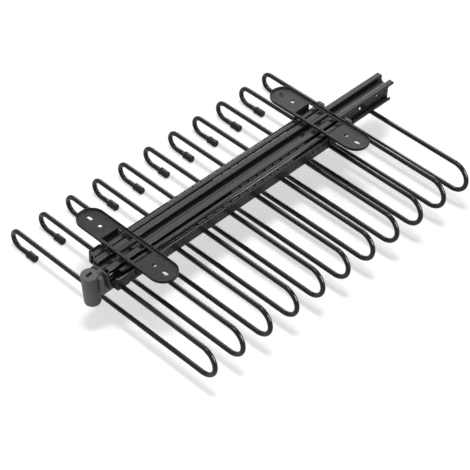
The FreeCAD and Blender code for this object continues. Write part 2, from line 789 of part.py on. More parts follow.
def bend_corners(centre, radius, start, sweep):
    """Points on a bend's arc, from its start direction through the sweep, both in degrees."""
    points = []
    for i in range(BEND_CHORDS + 1):
        turn = math.radians(start + sweep * i / BEND_CHORDS)
        points.append((centre[0] + radius * math.cos(turn), centre[1] + radius * math.sin(turn)))
    return points


def hanger(name, y):
    """One wire: upper leg under the carrier, hairpin at the right, rod, and hook at the left."""
    body = new_body(name, y)
    start_x = -(flange_reach - leg_inset)
    hairpin = (leg_level - rod_level) / 2
    hairpin_centre = (rod_right - hairpin, rod_level + hairpin)
    hook_centre = (hook_radius - hook_left, rod_level - hook_radius)
    route = new_sketch(body, f"{name}_route", "XZ_Plane")
    corners = [(start_x, leg_level)]
    corners += bend_corners(hairpin_centre, hairpin, 90, -180)
    corners += bend_corners(hook_centre, hook_radius, 90, 180)
    corners += [(hook_centre[0] + hook_tail, rod_level - hook_radius * 2)]
    chain(route, corners, closed=False)
    section = new_sketch(body, f"{name}_section", "YZ_Plane", start_x)
    flat_sided(section, 0, leg_level, wire / 2)
    sweep = body.newObject("PartDesign::AdditivePipe", f"{name}_bent_wire")
    sweep.Profile = section
    sweep.Spine = route
    sweep.Transition = "Right corner"
    return body


def hanger_cap(name, y):
    """Blunt-nosed cap pushed onto the end of a hook."""
    mouth_x = hook_radius - hook_left + hook_tail - cap_bore
    level = rod_level - hook_radius * 2
    body = new_body(name, y)
    outside = new_sketch(body, f"{name}_outside", "YZ_Plane", mouth_x)
    flat_sided(outside, 0, level, cap_diameter / 2)
    pad(body, outside, f"{name}_moulded", cap_length)
    nose_x = (mouth_x + cap_length).value
    dress(body, "Chamfer", f"{name}_nose", cap_nose, "yz", lambda p: close_to(p.x, nose_x))
    mouth = new_sketch(body, f"{name}_mouth", "YZ_Plane", mouth_x)
    flat_sided(mouth, 0, level, wire / 2)
    pocket(body, mouth, f"{name}_bore", cap_bore * 2)
    return body


for number in range(int(hanger_count.value)):
    hanger_y = first_hanger + hanger_pitch * number
    hanger(f"hanger_{number + 1:02d}", hanger_y)
    hanger_cap(f"hanger_cap_{number + 1:02d}", hanger_y)


# Check and write -----------------------------------------------------------------------

doc.recompute()
failed = [o.Name for o in doc.Objects if {"Invalid", "Error"} & set(o.State)]
if failed:
    raise RuntimeError("failed objects: " + ", ".join(failed))
for part in sub_parts:
    if part.Shape.isNull() or not part.Shape.isValid():
        raise RuntimeError(f"{part.Label} has no valid shape")
for part in sub_parts:
    part.Shape.exportStep(f"parts/{part.Label}.step")
print(len(sub_parts), "sub-parts written")
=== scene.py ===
import json
import math

import bmesh
import bpy
from mathutils import Matrix, Vector

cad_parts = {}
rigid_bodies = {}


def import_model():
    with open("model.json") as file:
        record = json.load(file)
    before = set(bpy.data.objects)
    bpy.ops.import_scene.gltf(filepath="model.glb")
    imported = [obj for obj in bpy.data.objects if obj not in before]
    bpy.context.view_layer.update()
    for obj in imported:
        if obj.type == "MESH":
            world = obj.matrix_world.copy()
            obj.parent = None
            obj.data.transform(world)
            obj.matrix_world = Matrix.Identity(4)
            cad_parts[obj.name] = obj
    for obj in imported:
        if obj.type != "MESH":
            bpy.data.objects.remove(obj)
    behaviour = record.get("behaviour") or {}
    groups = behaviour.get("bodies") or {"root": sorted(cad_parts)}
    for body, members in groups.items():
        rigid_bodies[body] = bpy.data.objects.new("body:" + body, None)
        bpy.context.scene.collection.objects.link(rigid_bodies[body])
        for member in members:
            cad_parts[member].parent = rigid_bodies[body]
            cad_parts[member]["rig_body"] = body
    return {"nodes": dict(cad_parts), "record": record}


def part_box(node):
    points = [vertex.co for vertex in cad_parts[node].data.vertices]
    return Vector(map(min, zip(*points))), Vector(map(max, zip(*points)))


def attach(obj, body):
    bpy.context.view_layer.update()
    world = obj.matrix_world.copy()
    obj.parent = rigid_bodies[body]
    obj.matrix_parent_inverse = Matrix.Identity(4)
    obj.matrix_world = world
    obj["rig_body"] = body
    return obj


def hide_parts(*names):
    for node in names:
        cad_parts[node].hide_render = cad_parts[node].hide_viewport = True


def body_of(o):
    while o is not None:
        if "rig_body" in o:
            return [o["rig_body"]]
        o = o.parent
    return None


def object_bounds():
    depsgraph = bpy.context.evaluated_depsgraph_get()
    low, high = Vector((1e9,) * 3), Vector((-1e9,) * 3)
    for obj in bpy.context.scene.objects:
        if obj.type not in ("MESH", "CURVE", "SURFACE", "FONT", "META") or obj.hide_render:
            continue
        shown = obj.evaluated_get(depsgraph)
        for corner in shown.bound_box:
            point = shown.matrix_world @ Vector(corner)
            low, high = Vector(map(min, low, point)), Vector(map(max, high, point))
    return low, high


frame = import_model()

MM = 0.001
cad_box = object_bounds()
scene = bpy.context.scene

# Sizes are in millimetres and angles in degrees, in the frame of the rack: x to the right,
# y to the rear, z up from the underside of the shelf. Lamps and camera are in metres.

# Wires and their caps. The bead of a cap is given as (distance from the mouth, change of
# radius).
HANGERS = 11
WIRE_RADIUS, WIRE_SIDES = 3.0, 28
LEG_START_X, LEG_LEVEL, LEG_BEVEL = -17.5, -29.9, 0.5
ROD_LEVEL, ROD_REACH_X = -69.2, 166.2
HOOK_REACH_X, HOOK_RADIUS = -164.5, 12.0
HOOK_TAIL, TAIL_GAP = 25.0, 0.5
HAIRPIN_STEPS, HOOK_STEPS = 40, 32
CAP_LENGTH, CAP_RADIUS, CAP_SIDES = 14.0, 4.8, 40
CAP_BODY = CAP_RADIUS - 0.2
CAP_ON_WIRE, CAP_FLARE = 11.0, 0.5
CAP_NOSE, CAP_SHOULDER, CAP_NOSE_STEPS = 2.2, 1, 8
CAP_BEAD = ((0, -0.7), (0.25, -0.2), (0.8, 0), (1.8, 0), (2.3, -0.25), (3.0, -0.35))

# Mounting plates. The rim runs from the underside to the tray as (inset, level, corner
# radius). A round hole keeps a short straight, so that no two corners of its loop meet.
PLATE_HALF, PLATE_RADIUS, PLATE_DEEP = 74.5, 17.5, 3.5
TRAY_LEVEL = -2.0
RIM = ((2.2, -PLATE_DEEP, 0), (0.0, -PLATE_DEEP, 0.3), (0.0, 0.0, 0.5), (1.0, 0.0, 0.5),
       (1.3, TRAY_LEVEL, 0.4), (2.2, TRAY_LEVEL, 0))
RIM_STEPS, SLOT_STEPS, HOLE_STEPS = 32, 10, 12
BOLT_SLOT = (60.5, 8.0, 4.8)  # x, length, width
SCREW_HOLE = (43.4, 2.5)  # x, radius
HOLE_STRAIGHT = 0.01
WINDOW = (2.1, 27.2, 12.5)  # near x, far x, half length
WINDOW_CORNER = 0.8
OPENING_CHAMFER = 0.25
TAB = (27.2, 1.5, -22.2, 4.0)  # inner x, thickness, foot level, corner radius
TAB_ROOT = 0.3

# Grip and bracket
GRIP_FOOT = (0.0, -209.0, -52.1)
GRIP_TALL, GRIP_RADIUS, GRIP_TILT = 43.5, 9.7, 5.4
GRIP_FOOT_EDGE, GRIP_HEAD_EDGE, GRIP_FOOT_RING = 0.9, 0.7, 1.0
GRIP_SIDES, GRIP_EDGE_STEPS = 72, 6
HEAD_SLOT = (4.0, 8.0, 6.0)  # width, length, depth
HEAD_SLOT_PAST = 2
BRACKET_ENDS, BRACKET_BACK = (-207.5, -191.5), -195.2
BRACKET_HEAD, BRACKET_FOOT, BRACKET_SHELF = -13.0, -33.9, -27.3
BRACKET_HEAD_HALF, BRACKET_FOOT_HALF = 10.8, 16.2
BRACKET_HEAD_CORNER, BRACKET_FOOT_CORNER = 1.2, 1.5
BRACKET_RECESS = (-202.6, -196.9, 8.5)  # front, rear, depth
RECESS_FLOOR, RECESS_PAST_HEAD, RECESS_PAST_SIDE = 1.6, 1, 3
BRACKET_CUT_ACROSS = (-30, 30)
GRIP_SEAT_GAP, GRIP_SEAT_PAST = 0.02, 5

# Ends of the outer rails, and what is cut off at the front of two rails
CAP_FOOT_INNER, CAP_FOOT_TALL = 18.7, 3.9
CHEEK_THICK, CHEEK_HEAD, CHEEK_LONG = 0.8, -8.6, 17.0
CHEEK_ROOT, CHEEK_TAPER = 0.3, 1
SIDE_HOLE = ((24, 29), (-122.9, -119.9), (-19.6, -16.4))
SETBACKS = {"left_outer_rail": 7.5, "right_intermediate_rail": 6.0}
SETBACK_ACROSS, SETBACK_TALL, SETBACK_PAST = (-40, 40), (-40, 0), 5

# Carrier rail: ridges, channel, running faces, flanges and catches
RIDGE_INNER, RIDGE_OUTER = 5.6, 13.5
RIDGE_TOP, RIDGE_FOOT = -6.5, -9.3
CHANNEL_FLOOR, CHANNEL_ROUND = -15.6, 4.6
CARRIER_FACE = 13.2
CARRIER_WALL = 1.6
RACES = (-12.8, -19.2)
RACE_DEPTH = 0.85
FLANGE_REACH, FLANGE_FOOT, FLANGE_EDGE, FLANGE_UPTURN = 17.9, -26.9, -22.6, 1.5
CARRIER_ENDS = (-195.0, 280.0)
WEB_END = 270.3
CATCH_SLOT = (216.5, 220.5, -17.4, -9.8)  # near y, far y, foot, head
CATCH_HOLE = (247.0, 251.5, -13.2, -10.4)
CUT_PAST, FLANGE_CUT_INTO_WEB = 1, 0.02

# Rounded edges: width, segments and the angle from which an edge counts. Then the angles
# below which a bend is shaded smoothly, and how CAD meshes are cleaned.
BUFFER_EDGE = (0.3, 2, 50)
BRACKET_EDGE = (0.5, 3, 40)
FRONT_CAP_EDGE = (0.15, 2, 60)
SMOOTH_BELOW, PLATE_SMOOTH_BELOW = 30, 35
WELD, FLAT_BELOW = 0.002, 0.5
CORNER_STEPS, CORNER_SHARE = 5, 0.49


# Meshes --------------------------------------------------------------------------------

def new_piece(name, points, faces, body):
    """Make an object from points in millimetres and let it ride on a body."""
    mesh = bpy.data.meshes.new(name)
    mesh.from_pydata([Vector(p) * MM for p in points], [], faces)
    mesh.update()
    piece = bpy.data.objects.new(name, mesh)
    scene.collection.objects.link(piece)
    for polygon in mesh.polygons:
        polygon.use_smooth = True
    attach(piece, body)
    return piece


def add_bevel(piece, width, segments, limit):
    """Round every edge that is sharper than the limit."""
    bevel = piece.modifiers.new("edge_rounding", "BEVEL")
    bevel.width = width * MM
    bevel.segments = segments
    bevel.limit_method = "ANGLE"
    bevel.angle_limit = math.radians(limit)
    bevel.harden_normals = True
    bevel.miter_outer = "MITER_ARC"


def smooth_by_area(piece, limit=SMOOTH_BELOW):
    """Shade bends smoothly, keep flats flat and leave sharp edges sharp."""
    piece.data.set_sharp_from_angle(angle=math.radians(limit))
    normals = piece.modifiers.new("flat_faces", "WEIGHTED_NORMAL")
    normals.keep_sharp = True


def dressed(node, edge):
    """Stand in for a CAD node with the same form, welded, cleaned and, if asked, rounded."""
    source = frame["nodes"][node].data
    work = bmesh.new()
    work.from_mesh(source)
    bmesh.ops.remove_doubles(work, verts=work.verts, dist=WELD * MM)
    bmesh.ops.dissolve_limit(work, angle_limit=math.radians(FLAT_BELOW), verts=work.verts,
                             edges=work.edges)
    bmesh.ops.triangulate(work, faces=work.faces, ngon_method="EAR_CLIP")
    points = [v.co / MM for v in work.verts]
    faces = [[v.index for v in f.verts] for f in work.faces]
    work.free()
    body = body_of(frame["nodes"][node])[0]
    piece = new_piece(f"{node}_finished", points, faces, body)
    if edge:
        add_bevel(piece, *edge)
    else:
        smooth_by_area(piece)
    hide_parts(node)
    return piece


def piece_from(work, name, body):
    """Turn a bmesh in millimetres into a piece and free it."""
    bmesh.ops.recalc_face_normals(work, faces=work.faces)
    work.verts.ensure_lookup_table()
    points = [v.co.copy() for v in work.verts]
    faces = [[v.index for v in f.verts] for f in work.faces]
    work.free()
    return new_piece(name, points, faces, body)


def corner_arc(before, corner, after, radius):
    """Points that round one corner of a section."""
    here = Vector(corner)
    inward, outward = (Vector(before) - here), (Vector(after) - here)
    if radius <= 0:
        return [tuple(here)]
    half = inward.angle(outward) / 2
    reach = min(radius / math.tan(half), inward.length * CORNER_SHARE,
                outward.length * CORNER_SHARE)
    start, end = here + inward.normalized() * reach, here + outward.normalized() * reach
    points = []
    for i in range(CORNER_STEPS + 1):
        t = i / CORNER_STEPS
        points.append(tuple((1 - t) ** 2 * start + 2 * t * (1 - t) * here + t ** 2 * end))
    return points


def rounded(section):
    """Round the corners of a closed section given as (a, b, radius)."""
    points = []
    for i, (a, b, radius) in enumerate(section):
        before, after = section[i - 1][:2], section[(i + 1) % len(section)][:2]
        points += corner_arc(before, (a, b), after, radius)
    return points


def add_loop(work, points):
    """Add a closed loop of edges and return its vertices."""
    ring = [work.verts.new(p) for p in points]
    for a, b in zip(ring, ring[1:] + ring[:1]):
        work.edges.new((a, b))
    return ring


def fill_between(work, loops):
    """Fill the flat area between an outer loop and the loops inside it."""
    edges = []
    for ring in loops:
        for a, b in zip(ring, ring[1:] + ring[:1]):
            edges.append(work.edges.get((a, b)) or work.edges.new((a, b)))
    bmesh.ops.triangle_fill(work, use_beauty=True, use_dissolve=False, edges=edges)


def bridge(work, low, high):
    """Join two loops of equal length with quads."""
    for i in range(len(low)):
        j = (i + 1) % len(low)
        work.faces.new((low[i], low[j], high[j], high[i]))


def add_prism(work, outline, start, end, axis):
    """Add a closed prism: an outline of (a, b) points drawn out along x or y."""
    if axis == "y":
        rings = [[(a, at, b) for a, b in outline] for at in (start, end)]
    else:
        rings = [[(at, a, b) for a, b in outline] for at in (start, end)]
    low, high = [add_loop(work, ring) for ring in rings]
    bridge(work, low, high)
    fill_between(work, [low])
    fill_between(work, [high])


# Faces of a block whose eight corners are counted with z fastest, then y, then x
BLOCK_FACES = [(0, 1, 3, 2), (4, 6, 7, 5), (0, 4, 5, 1), (2, 3, 7, 6), (0, 2, 6, 4),
               (1, 5, 7, 3)]


def box(*ranges):
    """Points and faces of a box from its x, y and z ranges."""
    points = [(x, y, z) for x in ranges[0] for y in ranges[1] for z in ranges[2]]
    return points, BLOCK_FACES


def cut(piece, tools):
    """Cut closed forms, given as points in millimetres and faces, out of a piece."""
    for number, (points, faces) in enumerate(tools):
        tool_mesh = bpy.data.meshes.new("cutter")
        tool_mesh.from_pydata([Vector(p) * MM for p in points], [], faces)
        work = bmesh.new()
        work.from_mesh(tool_mesh)
        bmesh.ops.recalc_face_normals(work, faces=work.faces)
        work.to_mesh(tool_mesh)
        work.free()
        tool = bpy.data.objects.new(f"cutter_{number}", tool_mesh)
        scene.collection.objects.link(tool)
        modifier = piece.modifiers.new("cut", "BOOLEAN")
        modifier.object = tool
        modifier.solver = "EXACT"
        graph = bpy.context.evaluated_depsgraph_get()
        shaped = bpy.data.meshes.new_from_object(piece.evaluated_get(graph))
        piece.modifiers.remove(modifier)
        old = piece.data
        shaped.name = piece.name
        piece.data = shaped
        bpy.data.meshes.remove(old)
        bpy.data.objects.remove(tool)
        bpy.data.meshes.remove(tool_mesh)
    for polygon in piece.data.polygons:
        polygon.use_smooth = True


def revolved(name, profile, origin, axis, body, sides):
    """Turn (distance along the axis, radius) pairs about an axis; zero radius closes an end."""
    axis = Vector(axis).normalized()
    across = axis.orthogonal().normalized()
    other = axis.cross(across)
    points, rings, faces = [], [], []
    for along, radius in profile:
        centre = Vector(origin) + axis * along
        if radius == 0:
            rings.append([len(points)])
            points.append(centre)
            continue
        ring = []
        for i in range(sides):
            turn = 2 * math.pi * i / sides
            ring.append(len(points))
            points.append(centre + (across * math.cos(turn) + other * math.sin(turn)) * radius)
        rings.append(ring)
    for low, high in zip(rings, rings[1:]):
        for i in range(sides):
            j = (i + 1) % sides
            if len(low) == 1:
                faces.append([low[0], high[j], high[i]])
            elif len(high) == 1:
                faces.append([low[i], low[j], high[0]])
            else:
                faces.append([low[i], low[j], high[j], high[i]])
    return new_piece(name, points, faces, body)


def round_over(end, radius, edge, steps):
    """Profile points that round the far edge of a turned form."""
    turns = [math.radians(90 * i / steps) for i in range(steps + 1)]
    return [(end - edge + edge * math.sin(turn), radius - edge + edge * math.cos(turn))
            for turn in turns]


# Wires and caps ------------------------------------------------------------------------

def arc(centre, radius, start, sweep, steps):
    """Points (x, z) and directions of travel along an arc."""
    side = 1 if sweep > 0 else -1
    stations = []
    for i in range(steps + 1):
        turn = math.radians(start + sweep * i / steps)
        place = (centre[0] + radius * math.cos(turn), centre[1] + radius * math.sin(turn))
        travel = (-math.sin(turn) * side, math.cos(turn) * side)
        stations.append((place, travel))
    return stations


def wire_stations():
    """The wire's centre line: leg, hairpin, rod, hook and tail."""
    hairpin = (LEG_LEVEL - ROD_LEVEL) / 2
    hairpin_centre = (ROD_REACH_X - hairpin, ROD_LEVEL + hairpin)
    hook_centre = (HOOK_REACH_X + HOOK_RADIUS, ROD_LEVEL - HOOK_RADIUS)
    tail_level = ROD_LEVEL - 2 * HOOK_RADIUS
    stations = [((LEG_START_X, LEG_LEVEL), (1, 0)),
                ((LEG_START_X + LEG_BEVEL, LEG_LEVEL), (1, 0))]
    stations += arc(hairpin_centre, hairpin, 90, -180, HAIRPIN_STEPS)
    stations += arc(hook_centre, HOOK_RADIUS, 90, 180, HOOK_STEPS)
    stations += [((hook_centre[0] + HOOK_TAIL - TAIL_GAP, tail_level), (1, 0))]
    return stations


def wire(node):
    """A round wire along the centre line, bevelled at its cut end beside the rail."""
    low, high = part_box(node)
    y = (low.y + high.y) / 2 / MM
    stations = wire_stations()
    points, faces = [], []
    for k, (place, travel) in enumerate(stations):
        radius = WIRE_RADIUS - (LEG_BEVEL if k == 0 else 0)
        normal = Vector((-travel[1], 0, travel[0]))
        centre = Vector((place[0], y, place[1]))
        for i in range(WIRE_SIDES):
            turn = 2 * math.pi * i / WIRE_SIDES
            points.append(centre + (normal * math.cos(turn) + Vector((0, math.sin(turn), 0)))
                          * radius)
    # Known fault: these faces are wound inside out
    for k in range(len(stations) - 1):
        for i in range(WIRE_SIDES):
            j = (i + 1) % WIRE_SIDES
            a, b = k * WIRE_SIDES, (k + 1) * WIRE_SIDES
            faces.append([a + i, a + j, b + j, b + i])
    faces.append(list(range(WIRE_SIDES))[::-1])
    last = (len(stations) - 1) * WIRE_SIDES
    faces.append(list(range(last, last + WIRE_SIDES)))
    piece = new_piece(f"{node}_wire", points, faces, "carrier")
    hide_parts(node)
    return piece


def cap(node):
    """Moulded cap with a rounded nose and a bead round its mouth."""
    low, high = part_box(node)
    y = (low.y + high.y) / 2 / MM
    level = (low.z + high.z) / 2 / MM
    mouth = low.x / MM
    profile = [(CAP_ON_WIRE, 0), (CAP_ON_WIRE, WIRE_RADIUS), (CAP_FLARE, WIRE_RADIUS),
               (0, WIRE_RADIUS + CAP_FLARE)]
    profile += [(along, CAP_RADIUS + change) for along, change in CAP_BEAD]
    profile.append((CAP_LENGTH - CAP_NOSE - CAP_SHOULDER, CAP_BODY))
    profile += round_over(CAP_LENGTH, CAP_BODY, CAP_NOSE, CAP_NOSE_STEPS)
    profile.append((CAP_LENGTH, 0))
    piece = revolved(f"{node}_moulded", profile, (mouth, y, level), (1, 0, 0), "carrier",
                     CAP_SIDES)
    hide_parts(node)
    return piece


# Plates, carrier, bracket and moulded ends ----------------------------------------------

def stadium(x, y, half, radius, level, steps):
    """A loop with straight sides and round ends, long along x."""
    points = []
    for side in (1, -1):
        for i in range(steps + 1):
            turn = math.pi * i / steps - math.pi / 2
            points.append((x + side * (half - radius + radius * math.cos(turn)),
                           y + side * radius * math.sin(turn), level))
    return points


def opening_loops(y, level, grow):
    """Loops of the slots, holes and windows of a plate, grown a little for a chamfer."""
    loops = []
    slot_x, slot_long, slot_wide = BOLT_SLOT
    hole_x, hole_radius = SCREW_HOLE
    near, far, half = WINDOW
    for side in (-1, 1):
        loops.append(stadium(slot_x * side, y, slot_long / 2 + grow, slot_wide / 2 + grow,
                             level, SLOT_STEPS))
        loops.append(stadium(hole_x * side, y, hole_radius + grow,
                             hole_radius + grow - HOLE_STRAIGHT, level, HOLE_STEPS))
        near_x, far_x = side * (near - grow), side * (far + grow)
        front_y, rear_y = y - half - grow, y + half + grow
        section = [(near_x, front_y, WINDOW_CORNER), (far_x, front_y, WINDOW_CORNER),
                   (far_x, rear_y, WINDOW_CORNER), (near_x, rear_y, WINDOW_CORNER)]
        loops.append([(a, b, level) for a, b in rounded(section)])
    return loops


def plate(node):
    """Pressed tray with a rounded rim, a flat floor, punched holes and bent tabs."""
    low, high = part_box(node)
    y = (low.y + high.y) / 2 / MM
    work = bmesh.new()
    rings = [add_loop(work, stadium(0, y, PLATE_HALF - inset, PLATE_RADIUS - inset, level,
                                    RIM_STEPS))
             for inset, level in rounded(RIM)]
    for lower, upper in zip(rings, rings[1:]):
        bridge(work, lower, upper)
    steps = ((TRAY_LEVEL, OPENING_CHAMFER), (TRAY_LEVEL - OPENING_CHAMFER, 0),
             (-PLATE_DEEP, 0))
    edges = [[add_loop(work, loop) for loop in opening_loops(y, level, grow)]
             for level, grow in steps]
    fill_between(work, [rings[-1]] + edges[0])
    fill_between(work, [rings[0]] + edges[2])
    for lower, upper in zip(edges, edges[1:]):
        for a, b in zip(lower, upper):
            bridge(work, a, b)
    inner, thick, foot, corner = TAB
    root, half = -PLATE_DEEP + TAB_ROOT, WINDOW[2]
    for side in (-1, 1):
        outline = rounded([(y - half, root, 0), (y + half, root, 0),
                           (y + half, foot, corner), (y - half, foot, corner)])
        start, end = sorted((inner * side, (inner + thick) * side))
        add_prism(work, outline, start, end, "x")
    piece = piece_from(work, f"{node}_pressed", "fixed_slides")
    smooth_by_area(piece, PLATE_SMOOTH_BELOW)
    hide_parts(node)
    return piece


def carrier():
    """Roll-formed hat section with its catch openings in the webs only."""
    wall = CARRIER_WALL
    race = []
    for level in RACES:
        race += [(CARRIER_FACE, level + RACE_DEPTH, 0.2),
                 (CARRIER_FACE - RACE_DEPTH, level, 0.3),
                 (CARRIER_FACE, level - RACE_DEPTH, 0.2)]
    right = [(RIDGE_INNER, CHANNEL_FLOOR, CHANNEL_ROUND), (RIDGE_INNER, RIDGE_TOP, 1.6),
             (RIDGE_OUTER, RIDGE_TOP, 1.2), (RIDGE_OUTER, RIDGE_FOOT, 0.2),
             (CARRIER_FACE, RIDGE_FOOT, 0.1)] + race
    right += [(CARRIER_FACE, FLANGE_FOOT + wall, 0.8),
              (FLANGE_REACH - FLANGE_UPTURN, FLANGE_FOOT + wall, 0.3),
              (FLANGE_REACH - FLANGE_UPTURN, FLANGE_EDGE, 0.3),
              (FLANGE_REACH, FLANGE_EDGE, 0.3), (FLANGE_REACH, FLANGE_FOOT, 1.2),
              (CARRIER_FACE - wall, FLANGE_FOOT, 0.4),
              (CARRIER_FACE - wall, RIDGE_TOP - wall, 0.4),
              (RIDGE_INNER + wall, RIDGE_TOP - wall, 0.4),
              (RIDGE_INNER + wall, CHANNEL_FLOOR - wall, CHANNEL_ROUND + wall)]
    left = [(-a, b, radius) for a, b, radius in reversed(right)]
    work = bmesh.new()
    add_prism(work, rounded(right + left), *CARRIER_ENDS, "y")
    piece = piece_from(work, "carrier_rail_formed", "carrier")
    boxes = []
    for side in (-1, 1):
        web = sorted((side * (CARRIER_FACE - wall - CUT_PAST), side * (RIDGE_OUTER + CUT_PAST)))
        for near, far, foot, head in (CATCH_SLOT, CATCH_HOLE):
            boxes.append(box(web, (near, far), (foot, head)))
        flange = sorted((side * (CARRIER_FACE - wall - FLANGE_CUT_INTO_WEB),
                         side * (FLANGE_REACH + CUT_PAST)))
        boxes.append(box(flange, (WEB_END, CARRIER_ENDS[1] + CUT_PAST),
                         (FLANGE_FOOT - CUT_PAST, RIDGE_FOOT)))
    cut(piece, boxes)
    smooth_by_area(piece)
    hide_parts("carrier_rail")
    return piece


def grip_place(along, radius=0.0, turn=0.0):
    """A point by its height along the leaning grip's axis, its radius and its angle."""
    lean = math.radians(GRIP_TILT)
    x, y, z = radius * math.cos(turn), radius * math.sin(turn), along
    return (GRIP_FOOT[0] + x,
            GRIP_FOOT[1] + y * math.cos(lean) - z * math.sin(lean),
            GRIP_FOOT[2] + y * math.sin(lean) + z * math.cos(lean))


def grip():
    """Leaning round grip with rounded ends and a slot in its head."""
    top = grip_place(GRIP_TALL)
    axis = Vector(top) - Vector(GRIP_FOOT)
    profile = [(0, 0), (0, GRIP_RADIUS - GRIP_FOOT_RING)]
    for i in range(GRIP_EDGE_STEPS + 1):
        turn = math.radians(90 * i / GRIP_EDGE_STEPS)
        profile.append((GRIP_FOOT_EDGE - GRIP_FOOT_EDGE * math.cos(turn),
                        GRIP_RADIUS - GRIP_FOOT_EDGE + GRIP_FOOT_EDGE * math.sin(turn)))
    profile += round_over(GRIP_TALL, GRIP_RADIUS, GRIP_HEAD_EDGE, GRIP_EDGE_STEPS)
    profile.append((GRIP_TALL, 0))
    piece = revolved("grip_moulded", profile, GRIP_FOOT, axis, "carrier", GRIP_SIDES)
    wide, long, deep = HEAD_SLOT
    corners = [(x, y) for x in (-wide / 2, wide / 2) for y in (-long / 2, long / 2)]
    points = []
    for x, y in corners:
        for along in (GRIP_TALL - deep, GRIP_TALL + HEAD_SLOT_PAST):
            points.append(grip_place(along, math.hypot(x, y), math.atan2(y, x)))
    cut(piece, [(points, BLOCK_FACES)])
    smooth_by_area(piece)
    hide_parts("grip")
    return piece


def bracket():
    """Moulded block that widens downwards, with a deep recess in each side and a seat for
    the grip."""
    work = bmesh.new()
    outline = rounded([(-BRACKET_FOOT_HALF, BRACKET_FOOT, BRACKET_FOOT_CORNER),
                       (BRACKET_FOOT_HALF, BRACKET_FOOT, BRACKET_FOOT_CORNER),
                       (BRACKET_HEAD_HALF, BRACKET_HEAD, BRACKET_HEAD_CORNER),
                       (-BRACKET_HEAD_HALF, BRACKET_HEAD, BRACKET_HEAD_CORNER)])
    add_prism(work, outline, *BRACKET_ENDS, "y")
    piece = piece_from(work, "front_bracket_moulded", "carrier")
    front, rear, deep = BRACKET_RECESS
    levels = ((BRACKET_FOOT + RECESS_FLOOR, BRACKET_FOOT_HALF),
              (BRACKET_HEAD + RECESS_PAST_HEAD, BRACKET_HEAD_HALF))
    tools = []
    for side in (-1, 1):
        points = []
        for level, half in levels:
            for y in (front, rear):
                points += [((half - deep) * side, y, level),
                           ((half + RECESS_PAST_SIDE) * side, y, level)]
        tools.append((points, BLOCK_FACES))
    tools.append(box(BRACKET_CUT_ACROSS, (BRACKET_BACK, BRACKET_ENDS[1] + CUT_PAST),
                     (BRACKET_SHELF, 0)))
    turns = range(GRIP_SIDES)
    seat = [grip_place(along, GRIP_RADIUS + GRIP_SEAT_GAP, 2 * math.pi * i / GRIP_SIDES)
            for along in (-GRIP_SEAT_PAST, GRIP_TALL + GRIP_SEAT_PAST) for i in turns]
    faces = [(i, (i + 1) % GRIP_SIDES, GRIP_SIDES + (i + 1) % GRIP_SIDES, GRIP_SIDES + i)
             for i in turns]
    faces += [tuple(reversed(turns)), tuple(GRIP_SIDES + i for i in turns)]
    tools.append((seat, faces))
    cut(piece, tools)
    add_bevel(piece, *BRACKET_EDGE)
    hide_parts("front_bracket")
    return piece


def front_cap(node):
    """Black moulded end of an outer rail: a block with a foot, and a long thin cheek."""
    low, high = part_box(node)
    side = 1 if low.x > 0 else -1
    outer = max(abs(low.x), abs(high.x)) / MM
    inner = min(abs(low.x), abs(high.x)) / MM
    head, foot = high.z / MM, low.z / MM
    front, rear = low.y / MM, high.y / MM
    if side < 0:
        front, rear = front + SETBACKS["left_outer_rail"], rear + SETBACKS["left_outer_rail"]
    section = [(inner, head, 1.0), (outer, head, 1.0), (outer, foot, 2.0),
               (CAP_FOOT_INNER, foot, 1.0), (CAP_FOOT_INNER, foot + CAP_FOOT_TALL, 0.6),
               (inner, foot + CAP_FOOT_TALL, 0.8)]
    work = bmesh.new()
    add_prism(work, [(a * side, b) for a, b in rounded(section)], front, rear, "y")
    cheek = rounded([(outer - CHEEK_ROOT, foot, 0.2),
                     (outer + CHEEK_THICK, foot + CHEEK_TAPER, 0.4),
                     (outer + CHEEK_THICK, CHEEK_HEAD - CHEEK_TAPER, 0.4),
                     (outer - CHEEK_ROOT, CHEEK_HEAD, 0.2)])
    add_prism(work, [(a * side, b) for a, b in cheek], front + CHEEK_ROOT,
              front + CHEEK_LONG, "y")
    piece = piece_from(work, f"{node}_moulded", "fixed_slides")
    add_bevel(piece, *FRONT_CAP_EDGE)
    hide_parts(node)
    return piece


# Materials -----------------------------------------------------------------------------

# Noise factors between which a tone runs from its dark to its light colour
TONE_STOPS = (0.3, 0.7)
# Radius of the bevelled normal at an edge painted paler, partly for wear and partly as a
# painted highlight in place of real rounding, the cosines between it and the plain normal at
# which the paler colour starts and is full, and the gain of that paler colour
WEAR_AND_HIGHLIGHT_RADIUS, WEAR_AND_HIGHLIGHT_FROM, WEAR_AND_HIGHLIGHT_TO, WEAR_AND_HIGHLIGHT_GAIN = 0.35, 0.995, 0.9, 1.6
# How far the roughness goes down and up
COAT_SPREAD, PLASTIC_SPREAD, STEEL_SPREAD = (0.04, 0.05), (0.04, 0.08), (0.06, 0.1)
# Detail of the noises, with their scale per metre where it is the same in every material
COAT_CLOUD_DETAIL, COAT_GRAIN_DETAIL, PLASTIC_GRAIN_DETAIL = 4, 3, 2
PLASTIC_CLOUD, STEEL_LINES = (90, 3), (900, 3)
# Gains of the dark and the light tone
PLASTIC_TONES, STEEL_TONES = (0.93, 1.08), (0.85, 1.1)
# Strength of the relief, and its depth in bare steel
COAT_BUMP, PLASTIC_BUMP, STEEL_BUMP, STEEL_RELIEF = 0.35, 0.3, 0.2, 0.02


def new_material(name, roughness, metallic=0.0, specular=0.5):
    """A material with a Principled shader whose plain values are set on its own sockets."""
    material = bpy.data.materials.new(name)
    material.use_nodes = True
    shader = material.node_tree.nodes["Principled BSDF"]
    shader.inputs["Roughness"].default_value = roughness
    shader.inputs["Metallic"].default_value = metallic
    shader.inputs["Specular IOR Level"].default_value = specular
    return material, material.node_tree, shader


